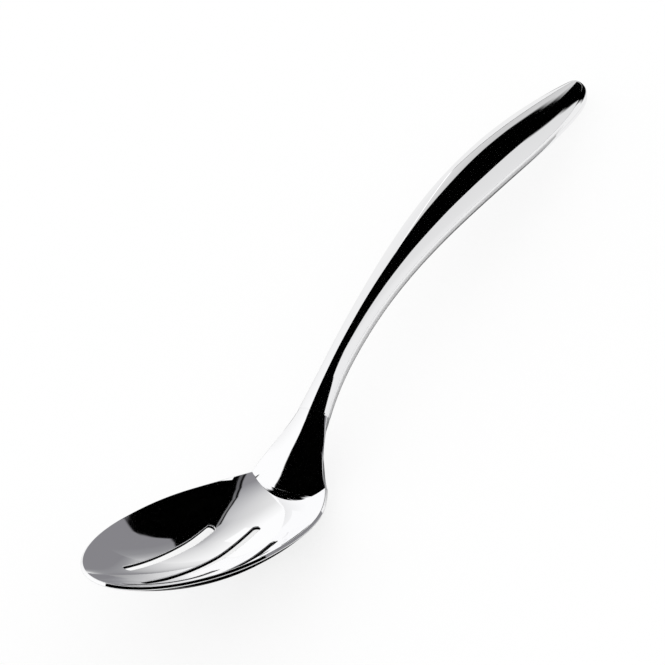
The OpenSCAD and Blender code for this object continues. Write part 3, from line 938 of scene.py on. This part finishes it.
def painted_bowl_reflection(tree):
    """The painted reflection that the bowl sees over the azimuths APART: its greys, and the dark pane."""
    azimuth, elevation = place_in_room(tree, "Object")
    risen = add(tree, "ShaderNodeMath", {0: elevation, 1: BOWL_RISE, 2: azimuth}, operation="MULTIPLY_ADD")
    high = add(tree, "ShaderNodeMapRange", {
        "Value": elevation, "From Min": HIGH_FROM[0], "From Max": HIGH_FROM[1]})
    greys = add(tree, "ShaderNodeMix", {
        "Factor": high.outputs["Result"], "A": ramp(tree, azimuth, LOW_GREYS),
        "B": ramp(tree, risen.outputs[0], HIGH_GREYS)}, data_type="RGBA").outputs["Result"]
    over = ramp(tree, over_edge(tree, azimuth, elevation, PANE_TOP), PANE_BORDER)
    under = ramp(tree, over_edge(tree, azimuth, elevation, PANE_FOOT), UNDER_PANE)
    pane = add(tree, "ShaderNodeVectorMath", {0: over, 1: under}, operation="MAXIMUM")
    risen_again = add(
        tree, "ShaderNodeMath", {0: elevation, 1: AGAIN_RISE, 2: azimuth}, operation="MULTIPLY_ADD")
    again = ramp(tree, risen_again.outputs[0], AGAIN_GREYS)
    return once_or_again(tree, times(tree, greys, pane.outputs[0]), again)


# A painted reflection, grey as paper on the table behind the bowl, which the tip reflects: a fan
# from a corner, in metres, over these azimuths. The handle sees a painted plain pale paper there.
FAN_CORNER, FAN_REACHES = np.array([-0.045, 0.069]), np.array([0.002, 4.0])
FAN, FAN_RAYS = (-25, 75), 41
HANDLE_PAPER = "#f0f0f0"
FAN_GREYS = [
    (8, "#868589"), (10, "#969699"), (12, "#b2b2b3"), (15, "#c8c8c9"), (21, "#e3e3e3"), (33, "#f8f8f8"),
    (40, "#ffffff")]
# A painted reflection of dark cloth on the table behind the end of the handle, over these
# azimuths of the fan and past this x, which the end reflects
END_CLOTH = [(-21, "#ffffff"), (-20, "#000000"), (-12, "#000000"), (-10, "#ffffff")]
END_CLOTH_FROM = [(0.172, "#ffffff"), (0.176, "#000000")]


def fan(height):
    """Grid of the fan at a height over the table: rays from its corner, by azimuth."""
    a = np.radians(np.linspace(*FAN, FAN_RAYS))[:, None]
    x, y = FAN_CORNER[0] + np.cos(a) * FAN_REACHES, FAN_CORNER[1] + np.sin(a) * FAN_REACHES
    return np.stack([x, y, np.full_like(x, height)], -1)


def fan_place(tree):
    """Azimuth in degrees from the corner of the fan, and x in metres."""
    place = add(tree, "ShaderNodeTexCoord").outputs["Object"]
    from_corner = add(tree, "ShaderNodeVectorMath", {0: place, 1: (*FAN_CORNER, 0.0)}, operation="SUBTRACT")
    axes = add(tree, "ShaderNodeSeparateXYZ", {"Vector": from_corner.outputs[0]})
    azimuth = add(tree, "ShaderNodeMath", {0: axes.outputs["Y"], 1: axes.outputs["X"]}, operation="ARCTAN2")
    azimuth = add(tree, "ShaderNodeMath", {0: azimuth.outputs[0]}, operation="DEGREES")
    x = add(tree, "ShaderNodeSeparateXYZ", {"Vector": place}).outputs["X"]
    return azimuth.outputs[0], x


def fan_greys(tree):
    """The painted reflection that the bowl sees on the table behind it: greys that lighten with azimuth."""
    return ramp(tree, fan_place(tree)[0], FAN_GREYS)


def fan_white(tree):
    """The painted reflection that the handle sees there: plain pale paper, with the cloth behind its end.
    """
    azimuth, x = fan_place(tree)
    beside, before = ramp(tree, azimuth, END_CLOTH), ramp(tree, x, END_CLOTH_FROM)
    cloth = add(tree, "ShaderNodeVectorMath", {0: beside, 1: before}, operation="MAXIMUM")
    return times(tree, cloth.outputs[0], linear(HANDLE_PAPER)[:3])


def black(tree):
    """Black, for the painted shadow under the bowl."""
    return linear("#000000")


def white(tree):
    """White, for the painted reflection behind the shank."""
    return linear("#ffffff")


# What lies on the table lies this high over it, in metres, the handle's fan on the bowl's
LYING, LYING_LOW = 1e-5, 5e-6
# Painted shadow under the bowl: a black patch on the table that only the metal sees, in metres:
# its far edge and its near edge
PAINTED_SHADOW_UNDER_BOWL = np.array([
    [(x, y, LYING) for x, y in edge] for edge in (
        [(-0.165, -0.005), (-0.140, 0.006), (-0.122, 0.003), (-0.106, -0.006), (-0.088, -0.018)],
        [(-0.172, -0.032), (-0.158, -0.050), (-0.138, -0.038), (-0.110, -0.032), (-0.092, -0.028)])])
# Painted reflection: a white card close behind the far corner of the shank, which that corner
# reflects
PAINTED_CORNER_REFLECTION = np.array([[(x, 0.019, z) for z in (0.0097, 0.021)] for x in (-0.0645, -0.054)])

card("painted shadow under the bowl", PAINTED_SHADOW_UNDER_BOWL, black, [bowl_sheet], clear=False)
card("painted reflection behind the shank", PAINTED_CORNER_REFLECTION, white, [bowl_sheet], clear=False)
card("painted reflection fan for the handle", fan(LYING), fan_white, handle_pieces)
card("painted reflection fan for the bowl", fan(LYING_LOW), fan_greys, [bowl_sheet], clear=False)
card("painted reflection for the handle", wall(HANDLE_WALL), painted_handle_reflection, handle_pieces)
card("painted reflection for the bowl", wall(BOWL_WALL), painted_bowl_reflection, [bowl_sheet])

# Camera: far away with a long lens, aimed as the photograph was taken. Its angles and the
# point at which it aims are those of the level spoon, and are laid down with it.
CAMERA_AZIMUTH, CAMERA_ELEVATION, CAMERA_ROLL = -57.36, 20.22, -0.05
CAMERA_AIM = np.array([160.0, 0.0, 30.0])
CAMERA_DISTANCE, PIXELS_PER_METRE = 4.2174, 2708.0
PHOTO_SIZE, SENSOR = 665, 36.0
AIM_PIXEL = (348.42, 374.03)
az, el, roll = np.radians([CAMERA_AZIMUTH, CAMERA_ELEVATION, CAMERA_ROLL])
level_back = np.array([np.sin(az) * np.cos(el), -np.cos(az) * np.cos(el), np.sin(el)])
level_right = np.array([np.cos(az), np.sin(az), 0.0])
level_up = np.cross(level_back, level_right)
back = Vector(turned(level_back))
right = Vector(turned(level_right * np.cos(roll) + level_up * np.sin(roll)))
up = Vector(turned(level_up * np.cos(roll) - level_right * np.sin(roll)))
eye = Vector((turned(CAMERA_AIM) + REST_SHIFT) / 1000) + back * CAMERA_DISTANCE
eye += right * (PHOTO_SIZE / 2 - AIM_PIXEL[0]) / PIXELS_PER_METRE
eye += up * (AIM_PIXEL[1] - PHOTO_SIZE / 2) / PIXELS_PER_METRE
lens = bpy.data.cameras.new("camera")
lens.sensor_width = SENSOR
lens.lens = CAMERA_DISTANCE * PIXELS_PER_METRE * SENSOR / PHOTO_SIZE
camera = bpy.data.objects.new("camera", lens)
camera.matrix_world = Matrix.Translation(eye) @ Matrix((right, up, back)).transposed().to_4x4()
bpy.context.collection.objects.link(camera)
bpy.context.scene.camera = camera
bpy.context.scene.view_settings.view_transform = "Standard"
